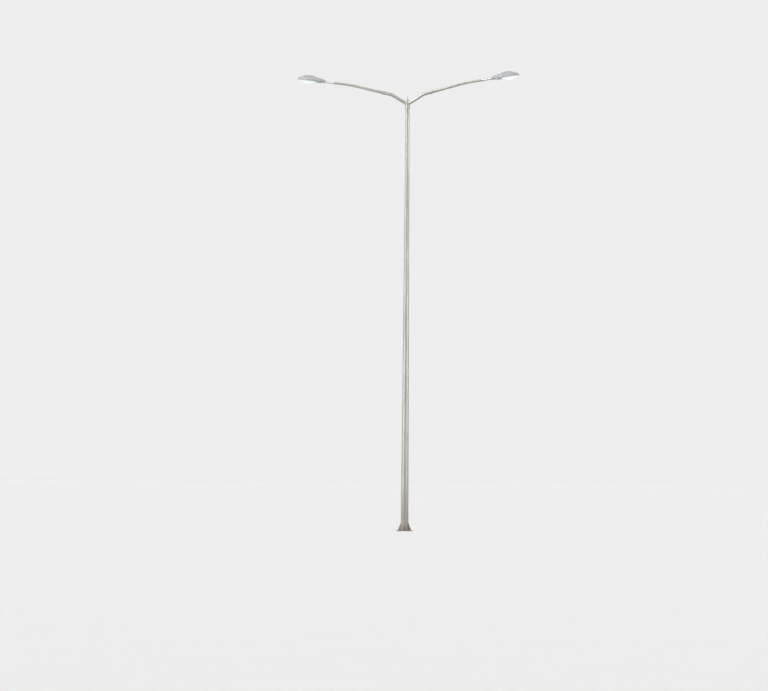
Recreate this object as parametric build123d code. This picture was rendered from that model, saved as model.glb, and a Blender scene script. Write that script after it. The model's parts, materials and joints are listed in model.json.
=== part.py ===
from build123d import *
import os
from math import cos, radians, sin, sqrt, tan

# Street light with two arms on a tapered round steel column.
# Millimetres and degrees. Z is up, X runs across the road along the arms, and the
# origin is the middle of the base plate's underside.

# Base plate and its gussets
plate_side = 400
plate_thickness = 20
plate_corner_radius = 24
anchor_spacing = 300
anchor_hole_diameter = 30
cable_hole_diameter = 130
gusset_height = 200
gusset_reach = 78
gusset_toe_height = 22
gusset_thickness = 10

# Shaft
shaft_top_height = 11960
shaft_base_diameter = 216
shaft_top_diameter = 110
shaft_wall = 4.5

# Service door
door_sill_height = 360
door_width = 96
door_height = 380
door_corner_radius = 34
door_frame_wall = 9
door_frame_depth = 22
door_frame_proud = 3
door_cover_lap = 5
door_cover_thickness = 3

# Collar, hub and finial
collar_height = 95
collar_wall = 14
collar_chamfer = 5
hub_diameter = 110
hub_wall = 4.5
hub_flange_diameter = 128
hub_flange_thickness = 10
hub_flange_chamfer = 3
hub_margin = 5
hub_shoulder = 12
hub_top_thickness = 10
finial_base_diameter = 74
finial_flange_height = 10
finial_stem_diameter = 60
finial_waist_diameter = 20
finial_cone_height = 110
finial_ball_diameter = 28
finial_tip_height = 68
finial_tip_diameter = 6

# Arms: reaches are measured level from the shaft's axis
arm_rise_angle = 31
elbow_reach = 460
elbow_radius = 260
arm_run_angle = 14
joint_reach = 690
curve_start_reach = 1500
curve_radius = 3000
arm_reach = 2150
arm_root_diameter = 90
arm_root_wall = 4
arm_start_diameter = 82
arm_end_diameter = 65
arm_wall = 3.5
joint_socket = 34
joint_web = 8
joint_wall = 6
sleeve_socket = 24
sleeve_web = 6
sleeve_wall = 6

# Neck tube that carries the lamp head
lamp_tilt = 8
neck_length = 250
neck_diameter = 60
neck_wall = 4

# Lamp head, along its own axis from the mouth of its socket to its nose
lamp_length = 800
lamp_half_width = 165
lamp_crest_height = 115
lamp_crest_reach = 470
lamp_mouth_half_width = 62
lamp_mouth_height = 48
lamp_rim_band = 10
canopy_wall = 5
socket_depth = 115
bulkhead_reach = 250
bulkhead_thickness = 6
ledge_width = 10
ledge_thickness = 5
fin_count = 11
fin_pitch = 19
fin_thickness = 3.5
fin_height = 20
fin_start_reach = 275
fin_end_reach = 700
gasket_thickness = 3
gasket_inset = 1.5
gasket_width = 13
frame_depth = 24
frame_lip = 10
frame_draft = 9
frame_gap = 3
bowl_border = 26
bowl_flange_width = 9
bowl_flange_thickness = 4
bowl_flange_drop = 9
bowl_depth = 86
bowl_wall = 4
cover_depth = 48
cover_draft = 16
cover_wall = 3.5
board_rise = 1
board_thickness = 5
lens_panel_thickness = 3
lens_columns = 7
lens_rows = 4
lens_pitch = 48
lens_radius = 15
lens_height = 9
lens_margin = 22
clamp_width = 104
clamp_start = 12
clamp_wall = 9
clamp_ear_thickness = 12
clamp_corner_radius = 8
latch_width = 36
latch_thickness = 4
latch_lap = 18

# Clearance between a round piece and the round seat that takes it
fit = 0.3

shaft_length = shaft_top_height - plate_thickness
root_half_height = arm_root_diameter / 2 / cos(radians(arm_rise_angle))
arm_root_height = shaft_top_height + hub_flange_thickness + hub_margin + root_half_height
hub_height = hub_flange_thickness + 2 * (hub_margin + root_half_height) + hub_shoulder
hub_radius = hub_diameter / 2
hub_top = shaft_top_height + hub_height
neck_radius = neck_diameter / 2


def shaft_radius(height):
    """Outer radius of the shaft at a height above the ground."""
    share = (height - plate_thickness) / shaft_length
    return (shaft_base_diameter + (shaft_top_diameter - shaft_base_diameter) * share) / 2


def shaft_form(low, high, grow=0.0):
    """The shaft's outer cone between two heights, its skin moved out by grow."""
    cone = Cone(
        shaft_radius(low) + grow,
        shaft_radius(high) + grow,
        high - low,
        align=(Align.CENTER, Align.CENTER, Align.MIN),
    )
    return Pos(0, 0, low) * cone


def turned(points):
    """A solid turned about Z from the straight-sided outline through (radius, height) points."""
    return revolve(Plane.XZ * make_face(Polyline(*points, close=True)), Axis.Z)


def block(x_from, x_to, y_half, z_from, z_to):
    """A block between two stations along X and two heights, centred on y = 0."""
    solid = Box(
        x_to - x_from, 2 * y_half, z_to - z_from, align=(Align.MIN, Align.CENTER, Align.MIN)
    )
    return Pos(x_from, 0, z_from) * solid


# Base plate and gussets


def base_plate():
    """Square plate with rounded corners, four anchor holes and the cable hole."""
    outline = RectangleRounded(plate_side, plate_side, plate_corner_radius)
    outline -= GridLocations(anchor_spacing, anchor_spacing, 2, 2) * Circle(anchor_hole_diameter / 2)
    outline -= Circle(cable_hole_diameter / 2)
    return extrude(outline, plate_thickness)


def gusset():
    """Upright three-cornered plate on the +X side, coped to the shaft's cone."""
    head = plate_thickness + gusset_height
    inner = shaft_radius(head) - 2 * gusset_thickness
    outer = shaft_radius(plate_thickness) + gusset_reach
    outline = Polyline(
        (inner, plate_thickness),
        (outer, plate_thickness),
        (outer, plate_thickness + gusset_toe_height),
        (shaft_radius(head) + gusset_thickness, head),
        (inner, head),
        close=True,
    )
    plate = extrude(Plane.XZ * make_face(outline), gusset_thickness / 2, both=True)
    return plate - shaft_form(plate_thickness, head + gusset_thickness)


# Shaft and service door


def door_block(grow):
    """Rounded block out through the shaft's front wall, the door's outline grown by grow."""
    outline = RectangleRounded(
        door_width + 2 * grow, door_height + 2 * grow, door_corner_radius + grow
    )
    middle = door_sill_height + door_height / 2
    return Pos(0, 0, middle) * extrude(Plane.XZ * outline, shaft_base_diameter)


def door_skin(inner_grow, outer_grow):
    """The shaft's skin near the door, between two offsets of its cone."""
    low = door_sill_height - 2 * door_frame_wall
    high = door_sill_height + door_height + 2 * door_frame_wall
    return shaft_form(low, high, outer_grow) - shaft_form(low, high, inner_grow)


def shaft():
    """Tapered tube standing on the plate, cut out for the door frame."""
    tube = shaft_form(plate_thickness, shaft_top_height)
    tube -= shaft_form(plate_thickness, shaft_top_height, -shaft_wall)
    return tube - door_block(door_frame_wall)


def door_frame():
    """Flat bar bent round the opening and welded in, its face following the shaft's curve."""
    ring = door_block(door_frame_wall) - door_block(0)
    return ring & door_skin(door_frame_proud - door_frame_depth, door_frame_proud)


def door_cover():
    """Curved sheet that closes the opening, seated on the frame."""
    skin = door_skin(door_frame_proud, door_frame_proud + door_cover_thickness)
    return door_block(door_cover_lap) & skin


# Collar, hub and finial


def top_collar():
    """Ring round the shaft's end, chamfered at its lower edge."""
    low = shaft_top_height - collar_height
    outer = shaft_top_diameter / 2 + fit + collar_wall
    ring = turned(
        [
            (0, low),
            (outer - collar_chamfer, low),
            (outer, low + collar_chamfer),
            (outer, shaft_top_height),
            (0, shaft_top_height),
        ]
    )
    return ring - shaft_form(low, shaft_top_height, fit)


def hub():
    """Hollow flanged drum on the shaft's end, open to the shaft below and to both arms."""
    flange_radius = hub_flange_diameter / 2
    flange_top = shaft_top_height + hub_flange_thickness
    drum = turned(
        [
            (0, shaft_top_height),
            (flange_radius, shaft_top_height),
            (flange_radius, flange_top - hub_flange_chamfer),
            (flange_radius - hub_flange_chamfer, flange_top),
            (hub_radius, flange_top),
            (hub_radius, hub_top - hub_shoulder),
            (hub_radius - hub_shoulder, hub_top),
            (0, hub_top),
        ]
    )
    room_radius = hub_radius - hub_wall
    room_top = hub_top - hub_shoulder - hub_top_thickness
    corners = [(0, shaft_top_height), (room_radius, shaft_top_height), (room_radius, room_top), (0, room_top)]
    room = turned(corners)
    bore = root_bar(arm_root_diameter - 2 * arm_root_wall)
    return drum - room - bore - mirror(bore, about=Plane.YZ)


def finial_cone():
    """Flanged cone on the hub, its side drawn in to a narrow waist."""
    shelf = hub_top + finial_flange_height
    neck = hub_top + finial_cone_height
    foot_radius = finial_base_diameter / 2
    stem_radius = finial_stem_diameter / 2
    waist_radius = finial_waist_diameter / 2
    side = TangentArc((waist_radius, neck), (stem_radius, shelf), tangent=(0, -1))
    outline = Wire(
        [
            Line((0, hub_top), (foot_radius, hub_top)).edge(),
            Line((foot_radius, hub_top), (foot_radius, shelf)).edge(),
            Line((foot_radius, shelf), (stem_radius, shelf)).edge(),
            side.edge(),
            Line((waist_radius, neck), (0, neck)).edge(),
            Line((0, neck), (0, hub_top)).edge(),
        ]
    )
    return revolve(Plane.XZ * make_face(outline), Axis.Z)


def finial_tip():
    """Small ball and slender spike on the cone's waist."""
    foot = hub_top + finial_cone_height
    ball = finial_ball_diameter / 2
    waist = finial_waist_diameter / 2
    spike = turned(
        [
            (0, foot),
            (waist, foot),
            (waist, foot + ball),
            (finial_tip_diameter / 2, foot + finial_tip_height),
            (0, foot + finial_tip_height),
        ]
    )
    bead = Pos(0, 0, foot + ball) * Sphere(ball)
    return spike + bead


# Arms, drawn with reach along x and height along y, then stood up in the XZ plane


def along(angle):
    """Unit vector that climbs at an angle."""
    return Vector(cos(radians(angle)), sin(radians(angle)))


def root_start():
    """Where the root tube's centreline meets the shaft's axis."""
    return Vector(0, arm_root_height - hub_radius * tan(radians(arm_rise_angle)))


def elbow_point():
    """Where the steep part's centreline meets the long run's."""
    return root_start() + along(arm_rise_angle) * (elbow_reach / cos(radians(arm_rise_angle)))


def run_point(reach):
    """The point of the long run's centreline at a reach."""
    return elbow_point() + along(arm_run_angle) * ((reach - elbow_reach) / cos(radians(arm_run_angle)))


def stood_up(*curves):
    """Joins curves drawn in reach and height into a path in the XZ plane."""
    return Plane.XZ * Wire([curve.edge() for curve in curves])


def root_path():
    """From the shaft's axis up the steep part, round the elbow and on to the joint."""
    turn = arm_rise_angle - arm_run_angle
    setback = elbow_radius * tan(radians(turn / 2))
    bend_start = elbow_point() - along(arm_rise_angle) * setback
    bend = JernArc(bend_start, along(arm_rise_angle), elbow_radius, -turn)
    end = run_point(joint_reach) - along(arm_run_angle) * (joint_web / 2)
    return stood_up(Line(root_start(), bend_start), bend, Line(bend @ 1, end))


def long_curve():
    """The arc that flattens the long run to the lamp's tilt."""
    turn = arm_run_angle - lamp_tilt
    return JernArc(run_point(curve_start_reach), along(arm_run_angle), curve_radius, -turn)


def sleeve_point():
    """The middle of the sleeve at the arm's end."""
    bend_end = long_curve() @ 1
    return bend_end + along(lamp_tilt) * ((arm_reach - bend_end.X) / cos(radians(lamp_tilt)))


def arm_path():
    """From the joint along the straight run and round the long curve to the sleeve."""
    start = run_point(joint_reach) + along(arm_run_angle) * (joint_web / 2)
    bend = long_curve()
    end = sleeve_point() - along(lamp_tilt) * (sleeve_web / 2)
    return stood_up(Line(start, bend @ 0), bend, Line(bend @ 1, end))


def root_bar(diameter):
    """A round bar of one diameter along the root's path, from the shaft's axis."""
    path = root_path()
    return sweep((path ^ 0) * Circle(diameter / 2), path=path)


def arm_bar(start_diameter, end_diameter):
    """A round bar along the arm's path that tapers from one diameter to the other."""
    path = arm_path()
    ends = [(path ^ 0) * Circle(start_diameter / 2), (path ^ 1) * Circle(end_diameter / 2)]
    return sweep(ends, path=path, multisection=True)


def arm_root():
    """Bent tube welded to the hub and coped to its drum."""
    tube = root_bar(arm_root_diameter) - root_bar(arm_root_diameter - 2 * arm_root_wall)
    return tube - Pos(0, 0, arm_root_height) * Cylinder(hub_radius, 2 * hub_height)


def arm():
    """Tapered tube from the joint to the sleeve."""
    tube = arm_bar(arm_start_diameter, arm_end_diameter)
    return tube - arm_bar(arm_start_diameter - 2 * arm_wall, arm_end_diameter - 2 * arm_wall)


def coupling(before, after, bore, socket, web, wall):
    """Turned coupling along Z, with a socket for the tube below and one for the tube above."""
    low_radius = before / 2 + fit
    high_radius = after / 2 + fit
    step = low_radius - high_radius
    return turned(
        [
            (low_radius, -socket - web / 2),
            (low_radius + wall, -socket - web / 2),
            (low_radius + wall, web / 2),
            (high_radius + wall, web / 2 + step),
            (high_radius + wall, socket + web / 2),
            (high_radius, socket + web / 2),
            (high_radius, web / 2),
            (bore / 2, web / 2),
            (bore / 2, -web / 2),
            (low_radius, -web / 2),
        ]
    )


def facing(point, angle):
    """A frame at a point of the arm with its Z along the tube and its Y across the road's line."""
    heading = along(angle)
    return Plane(
        origin=(point.X, 0, point.Y), x_dir=(0, 1, 0), z_dir=(heading.X, 0, heading.Y)
    )


def arm_joint():
    """Coupling between the root and the long tapered tube."""
    ring = coupling(
        arm_root_diameter,
        arm_start_diameter,
        arm_start_diameter - 2 * arm_wall,
        joint_socket,
        joint_web,
        joint_wall,
    )
    return facing(run_point(joint_reach), arm_run_angle) * ring


def arm_sleeve():
    """Coupling between the long tube and the neck."""
    ring = coupling(
        arm_end_diameter,
        neck_diameter,
        neck_diameter - 2 * neck_wall,
        sleeve_socket,
        sleeve_web,
        sleeve_wall,
    )
    return facing(sleeve_point(), lamp_tilt) * ring


def neck_tube():
    """Straight tube from the sleeve into the lamp head's socket."""
    length = neck_length + socket_depth - fit
    bar = Cylinder(neck_radius, length, align=(Align.CENTER, Align.CENTER, Align.MIN))
    bar -= Cylinder(neck_radius - neck_wall, length, align=(Align.CENTER, Align.CENTER, Align.MIN))
    return facing(sleeve_point(), lamp_tilt) * (Pos(0, 0, sleeve_web / 2) * bar)


# Lamp head, drawn with its axis along X, the split between canopy and frame at z = 0


def at_mouth(crest_value, mouth_value, grow):
    """Where an arc that is level at the crest meets the mouth, once it is moved out by grow."""
    rise = crest_value - mouth_value
    radius = (lamp_crest_reach**2 + rise**2) / (2 * rise)
    return crest_value - radius + sqrt((radius + grow) ** 2 - lamp_crest_reach**2)


def lamp_outline(grow=0.0):
    """The lamp's outline from above: an oval nose and two long flanks, moved out by grow."""
    half = lamp_half_width + grow
    mouth = at_mouth(lamp_half_width, lamp_mouth_half_width, grow)
    nose = EllipticalCenterArc(
        center=(lamp_crest_reach, 0),
        x_radius=lamp_length - lamp_crest_reach + grow,
        y_radius=half,
        start_angle=-90,
        arc_size=180,
    )
    near = TangentArc((lamp_crest_reach, half), (0, mouth), tangent=(-1, 0))
    far = TangentArc((lamp_crest_reach, -half), (0, -mouth), tangent=(-1, 0))
    mouth_line = Line((0, mouth), (0, -mouth))
    return make_face(Wire([nose.edge(), near.edge(), mouth_line.edge(), far.edge()]))


def slab(grow, z_from, z_to):
    """The lamp's outline, moved out by grow, as a slab between two heights."""
    return Pos(0, 0, z_from) * extrude(lamp_outline(grow), z_to - z_from)


def drafted(grow, z_top, z_low, draft):
    """The lamp's outline drawn in by draft from one height down to another."""
    ends = [Pos(0, 0, z_top) * lamp_outline(grow), Pos(0, 0, z_low) * lamp_outline(grow - draft)]
    return loft(ends, ruled=True)


def crown_axis():
    """Depth of the level axis about which the canopy's crown is turned, below the split."""
    squares = lamp_half_width**2 + lamp_rim_band**2 - lamp_crest_height**2
    return squares / (2 * (lamp_crest_height - lamp_rim_band))


def crown(grow):
    """Canopy's crown as a turned form, its seam underneath: each cross-section is an arc of a circle."""
    depth = crown_axis()
    crest = lamp_crest_height + depth
    nose_share = sqrt(1 - ((lamp_rim_band + depth) / crest) ** 2)
    nose_reach = (lamp_length - lamp_crest_reach) / nose_share
    mouth = at_mouth(crest, lamp_mouth_height + depth, grow)
    nose = EllipticalCenterArc(
        center=(lamp_crest_reach, 0),
        x_radius=nose_reach + grow,
        y_radius=crest + grow,
        start_angle=0,
        arc_size=90,
    )
    arc = TangentArc((lamp_crest_reach, crest + grow), (0, mouth), tangent=(-1, 0))
    back = Spline(arc @ 0, arc @ 0.5, arc @ 1, tangents=[arc % 0, arc % 1])
    rest = Polyline((0, mouth), (0, 0), (lamp_crest_reach + nose_reach + grow, 0))
    profile = make_face(Wire([nose.edge(), back.edge(), *rest.edges()]))
    return Pos(0, 0, -depth) * Rot(180, 0, 0) * revolve(Plane.XZ * profile, Axis.X)


def crown_height(reach):
    """Height of the crown's crest line above its axis, at a reach along the lamp."""
    depth = crown_axis()
    crest = lamp_crest_height + depth
    if reach > lamp_crest_reach:
        nose_share = 1 - ((lamp_rim_band + depth) / crest) ** 2
        nose_reach = (lamp_length - lamp_crest_reach) / sqrt(nose_share)
        return crest * sqrt(1 - ((reach - lamp_crest_reach) / nose_reach) ** 2)
    rise = lamp_crest_height - lamp_mouth_height
    radius = (lamp_crest_reach**2 + rise**2) / (2 * rise)
    return crest - radius + sqrt(radius**2 - (lamp_crest_reach - reach) ** 2)


def fin_crown():
    """The fins' turned top: an arc that stands up off the crown and meets it at both ends."""
    start = (fin_start_reach, crown_height(fin_start_reach))
    middle = (lamp_crest_reach, crown_height(lamp_crest_reach) + fin_height)
    end = (fin_end_reach, crown_height(fin_end_reach))
    arc = ThreePointArc(start, middle, end)
    rest = Polyline(end, (fin_end_reach, 0), (fin_start_reach, 0), start)
    profile = make_face(Wire([arc.edge(), *rest.edges()]))
    return Pos(0, 0, -crown_axis()) * Rot(180, 0, 0) * revolve(Plane.XZ * profile, Axis.X)


def canopy_form(grow=0.0):
    """The canopy's outer form, its skin moved out by grow: the crown over the lamp's outline."""
    return crown(grow) & slab(grow, 0, 2 * lamp_crest_height)


def ledge_height():
    """Height of the ledge's underside, which the board is screwed up against."""
    return board_rise + board_thickness


def canopy():
    """Finned casting: a solid socket at the neck, two rooms, and a ledge in the front room."""
    rear_start = socket_depth + canopy_wall
    front_start = bulkhead_reach + bulkhead_thickness
    ledge_low = ledge_height()
    ledge_high = ledge_low + ledge_thickness
    tall = 2 * lamp_crest_height
    wide = lamp_half_width
    blade = block(fin_start_reach, fin_end_reach, fin_thickness / 2, ledge_high, tall)
    ribbed = fin_crown()
    casting = canopy_form()
    for spot in GridLocations(0, fin_pitch, 1, fin_count):
        casting += ribbed & (spot * blade)
    room = canopy_form(-canopy_wall)
    casting -= room & block(rear_start, bulkhead_reach, wide, 0, tall)
    casting -= room & block(front_start, lamp_length, wide, ledge_high, tall)
    casting -= slab(-canopy_wall, 0, ledge_low) & block(front_start, lamp_length, wide, 0, tall)
    opening = slab(-canopy_wall - ledge_width, ledge_low, ledge_high)
    casting -= opening & block(front_start + ledge_width, lamp_length, wide, 0, tall)
    seat = Cylinder(neck_radius + fit, socket_depth, align=(Align.CENTER, Align.CENTER, Align.MIN))
    return casting - Plane.YZ * seat


def gasket():
    """Flat seal under the canopy's rim, with a bar under the bulkhead."""
    start = socket_depth + canopy_wall
    middle = bulkhead_reach + bulkhead_thickness / 2
    low = -gasket_thickness
    wide = lamp_half_width
    seal = slab(-gasket_inset, low, 0) & block(start, lamp_length, wide, low, 0)
    inner = slab(-gasket_inset - gasket_width, low, 0)
    seal -= inner & block(start + gasket_width, middle - gasket_width, wide, low, 0)
    return seal - (inner & block(middle + gasket_width, lamp_length, wide, low, 0))


def bowl_half_length():
    """Half the bowl's length at the frame."""
    return (lamp_length - bulkhead_reach - bulkhead_thickness) / 2 - bowl_border


def bowl_middle():
    """Where the bowl's middle lies along the lamp."""
    return lamp_length - bowl_border - bowl_half_length()


def bowl_slab(grow, z_from, z_to):
    """The bowl's oval at the frame, grown by grow, as a slab between two heights."""
    oval = Ellipse(bowl_half_length() + grow, lamp_half_width - bowl_border + grow)
    return Pos(bowl_middle(), 0, z_from) * extrude(oval, z_to - z_from)


def ledge_level():
    """Height of the frame's ledge, which the bowl's flange lies on."""
    return -gasket_thickness - bowl_flange_drop - bowl_flange_thickness


def bowl_frame():
    """Rim that carries the bowl, drawn in below its lip, with a ledge for the bowl's flange."""
    low = -gasket_thickness - frame_depth
    lip = -gasket_thickness - frame_lip
    start = bulkhead_reach + bulkhead_thickness / 2 + frame_gap / 2
    rim = slab(0, lip, -gasket_thickness) + drafted(0, lip, low, frame_draft)
    rim &= block(start, lamp_length, lamp_half_width, low, -gasket_thickness)
    rim -= bowl_slab(fit, low, 0)
    return rim - bowl_slab(bowl_flange_width + fit, ledge_level(), 0)


def bowl_dome(grow):
    """Lower half of the bowl's form, turned about a level axis, its skin moved out by grow."""
    half_width = lamp_half_width - bowl_border
    lift = (half_width**2 - bowl_depth**2) / (2 * bowl_depth)
    deepest = bowl_depth + lift
    reach = bowl_half_length() / sqrt(1 - (lift / deepest) ** 2)
    arc = EllipticalCenterArc(
        center=(0, 0), x_radius=reach + grow, y_radius=deepest + grow, start_angle=0, arc_size=180
    )
    profile = make_face(Wire([arc.edge(), Line(arc @ 1, arc @ 0).edge()]))
    turned_form = Pos(0, 0, lift) * revolve(Plane.XZ * profile, Axis.X)
    below = block(-lamp_length, lamp_length, lamp_length, -2 * bowl_depth, 0)
    return Pos(bowl_middle(), 0, ledge_level()) * (turned_form & below)


def bowl():
    """Hollow bowl with a flat flange round its mouth."""
    low = ledge_level()
    high = low + bowl_flange_thickness
    ring = bowl_slab(bowl_flange_width, low, high) - bowl_slab(-bowl_wall, low, high)
    return ring + (bowl_dome(0) - bowl_dome(-bowl_wall))


def board():
    """Plate that carries the light points, up against the canopy's ledge."""
    top = ledge_height()
    start = bulkhead_reach + bulkhead_thickness + fit
    plate = slab(-canopy_wall - fit, board_rise, top)
    return plate & block(start, lamp_length, lamp_half_width, board_rise, top)


def lens_panel():
    """Clear panel under the board, with a dome over each light point."""
    low = board_rise - lens_panel_thickness
    length = (lens_columns - 1) * lens_pitch + 2 * lens_margin
    width = (lens_rows - 1) * lens_pitch + 2 * lens_margin
    panel = Pos(0, 0, low) * extrude(RectangleRounded(length, width, lens_margin), lens_panel_thickness)
    ball = (lens_radius**2 + lens_height**2) / (2 * lens_height)
    dome = Pos(0, 0, low - lens_height + ball) * Sphere(ball)
    dome &= Pos(0, 0, low) * Cylinder(
        lens_radius, 2 * lens_height, align=(Align.CENTER, Align.CENTER, Align.MAX)
    )
    panel += GridLocations(lens_pitch, lens_pitch, lens_columns, lens_rows) * dome
    return Pos(bowl_middle(), 0, 0) * panel


def gear_cover():
    """Shallow tray with drafted sides under the rear room."""
    start = socket_depth + canopy_wall
    end = bulkhead_reach + bulkhead_thickness / 2 - frame_gap / 2
    top = -gasket_thickness
    low = top - cover_depth
    floor = low + cover_wall
    share = (cover_depth - cover_wall) / cover_depth
    tray = drafted(0, top, low, cover_draft) & block(start, end, lamp_half_width, low, top)
    room = drafted(-cover_wall, top, floor, cover_draft * share)
    return tray - (room & block(start + cover_wall, end - cover_wall, lamp_half_width, floor, top))


def neck_clamp():
    """Saddle under the neck tube, its two ears drawn up against the canopy's socket."""
    length = socket_depth - fit - clamp_start
    plate = RectangleRounded(length, clamp_width, clamp_corner_radius)
    ears = Pos(clamp_start + length / 2, 0, -clamp_ear_thickness) * extrude(plate, clamp_ear_thickness)
    ends = (Align.CENTER, Align.CENTER, Align.MIN)
    strap = Pos(clamp_start, 0, 0) * (Plane.YZ * Cylinder(neck_radius + clamp_wall, length, align=ends))
    strap &= block(clamp_start, socket_depth, clamp_width, -clamp_width, 0)
    return ears + strap - Plane.YZ * Cylinder(neck_radius + fit, socket_depth, align=ends)


def nose_latch():
    """Bent clip on the nose that holds the frame up against the canopy."""
    outer = fit + latch_thickness
    low = -gasket_thickness - latch_lap
    start = lamp_length - latch_width
    end = lamp_length + 2 * latch_thickness
    clip = canopy_form(outer) - canopy_form(fit)
    clip += slab(outer, low, 0) - slab(fit, low, 0)
    return clip & block(start, end, latch_width / 2, low, latch_lap)


def on_neck(piece):
    """Sets a piece of the lamp head on the right arm's neck."""
    heading = along(lamp_tilt)
    mouth = sleeve_point() + heading * (sleeve_web / 2 + neck_length)
    place = Plane(
        origin=(mouth.X, 0, mouth.Y), x_dir=(heading.X, 0, heading.Y), z_dir=(-heading.Y, 0, heading.X)
    )
    return place * piece


# Every piece by name

pieces = {
    "base_plate": base_plate(),
    "shaft": shaft(),
    "door_frame": door_frame(),
    "door_cover": door_cover(),
    "top_collar": top_collar(),
    "hub": hub(),
    "finial_cone": finial_cone(),
    "finial_tip": finial_tip(),
}

for turn, side in enumerate(("right", "back", "left", "front")):
    pieces[f"gusset_{side}"] = Rot(0, 0, 90 * turn) * gusset()

right_arm = {
    "arm_root": arm_root(),
    "arm_joint": arm_joint(),
    "arm": arm(),
    "arm_sleeve": arm_sleeve(),
    "neck_tube": neck_tube(),
    "neck_clamp": on_neck(neck_clamp()),
    "lamp_canopy": on_neck(canopy()),
    "lamp_gasket": on_neck(gasket()),
    "gear_cover": on_neck(gear_cover()),
    "bowl_frame": on_neck(bowl_frame()),
    "lamp_bowl": on_neck(bowl()),
    "lamp_board": on_neck(board()),
    "lens_panel": on_neck(lens_panel()),
    "nose_latch": on_neck(nose_latch()),
}

for name, piece in right_arm.items():
    pieces[f"{name}_right"] = piece
    pieces[f"{name}_left"] = mirror(piece, about=Plane.YZ)

os.makedirs("parts", exist_ok=True)
for name, piece in pieces.items():
    export_step(piece, f"parts/{name}.step")
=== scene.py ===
# %% [markdown]
# # A street light with two arms, dressed
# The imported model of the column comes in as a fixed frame: every tube, casting and plate is
# already in place, in metres, with Z up and the arms along X. This file adds what a maker would
# add after the big pieces are cut: paint and zinc, welds, screws, the ribs of the glass bowl, and
# the light.

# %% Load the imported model
import json
from math import asin, atan2, cos, pi, radians, sin, sqrt, tan

import bmesh
import bpy
from mathutils import Matrix, Vector


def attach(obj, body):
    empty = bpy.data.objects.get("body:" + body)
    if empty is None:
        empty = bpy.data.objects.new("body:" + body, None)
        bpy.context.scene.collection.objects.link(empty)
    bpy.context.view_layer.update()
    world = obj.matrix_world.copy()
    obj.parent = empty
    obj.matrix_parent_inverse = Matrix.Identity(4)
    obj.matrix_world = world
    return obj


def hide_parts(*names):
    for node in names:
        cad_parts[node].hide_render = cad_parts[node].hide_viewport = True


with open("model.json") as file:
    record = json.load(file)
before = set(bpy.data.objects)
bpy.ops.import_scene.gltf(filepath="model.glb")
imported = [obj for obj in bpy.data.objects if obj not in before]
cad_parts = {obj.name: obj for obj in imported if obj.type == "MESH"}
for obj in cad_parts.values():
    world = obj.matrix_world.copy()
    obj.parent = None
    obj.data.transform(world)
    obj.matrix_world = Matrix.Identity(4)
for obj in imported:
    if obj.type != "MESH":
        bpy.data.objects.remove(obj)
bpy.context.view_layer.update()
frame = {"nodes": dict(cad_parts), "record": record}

nodes = frame["nodes"]

# %% [markdown]
# ## Camera
# The street light is 12 m tall and is seen from far off through a long lens, from near the ground,
# so the arms show a little from below and the column hardly narrows by perspective. A wide lens
# close by would make the lamps too large. A small roll of the camera makes the column lean.

# %% Camera
view_width = 768
sensor_width = 36.0
lens = 167.13
distance = 100.0
azimuth = radians(13.0)
eye_height = 1.45
pitch = radians(2.147)
roll = radians(0.43)
pole_offset = 0.614
far_end = 4000.0

scene = bpy.context.scene

def add_object(name, data):
    """Puts data into the scene as an object."""
    obj = bpy.data.objects.new(name, data)
    scene.collection.objects.link(obj)
    return obj

camera = add_object("camera", bpy.data.cameras.new("camera"))
camera.data.sensor_width = sensor_width
camera.data.lens = lens
camera.data.clip_end = far_end
yaw = azimuth + atan2(pole_offset, distance)
eye = Matrix.Translation((distance * sin(azimuth), -distance * cos(azimuth), eye_height))
aim = Matrix.Rotation(yaw, 4, "Z") @ Matrix.Rotation(pi / 2 + pitch, 4, "X")
camera.matrix_world = eye @ (aim @ Matrix.Rotation(roll, 4, "Z"))
scene.camera = camera
pixels = view_width * lens / sensor_width / distance
print("pixels to the metre at the column:", round(pixels, 2))

# %% [markdown]
# ## Shader maths
# A finish is a chain of small sums: this much dust, less where rain runs, more near the ground.
# Each sum is a Math node, and wiring them by hand hides what they say. So one small class wraps a
# socket and gives it Python's operators, and one method adds any other node.

# %% Sockets as values
class Tap:
    """What leaves a socket. Python's operators on it add Math nodes."""

    def __init__(self, bench, socket):
        self.bench = bench
        self.socket = socket

    def maths(self, operation, first, second=0.0):
        return self.bench.node("ShaderNodeMath", {"operation": operation}, {0: first, 1: second})

    def __add__(self, other):
        return self.maths("ADD", self, other)

    def __radd__(self, other):
        return self.maths("ADD", other, self)

    def __sub__(self, other):
        return self.maths("SUBTRACT", self, other)

    def __rsub__(self, other):
        return self.maths("SUBTRACT", other, self)

    def __mul__(self, other):
        return self.maths("MULTIPLY", self, other)

    def __rmul__(self, other):
        return self.maths("MULTIPLY", other, self)

    def at_least(self, other):
        return self.maths("MAXIMUM", self, other)

    def size(self):
        return self.maths("ABSOLUTE", self)

# %% A bench of nodes
class Bench:
    """A node tree, and the one way in which this file adds nodes to it."""

    def __init__(self, tree):
        self.tree = tree

    def node(self, kind, settings=None, inputs=None, out=0):
        """A node with its settings, then its sockets; out is the number or name of its output."""
        made = self.tree.nodes.new(kind)
        for setting, value in (settings or {}).items():
            setattr(made, setting, value)
        for socket, value in (inputs or {}).items():
            self.feed(made.inputs[socket], value)
        return Tap(self, made.outputs[out])

    def feed(self, socket, value):
        """Links a socket to a Tap, or sets it. A colour is red, green and blue."""
        if isinstance(value, Tap):
            self.tree.links.new(value.socket, socket)
        elif socket.type == "RGBA":
            socket.default_value = (*value, 1.0)
        else:
            socket.default_value = value

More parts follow.
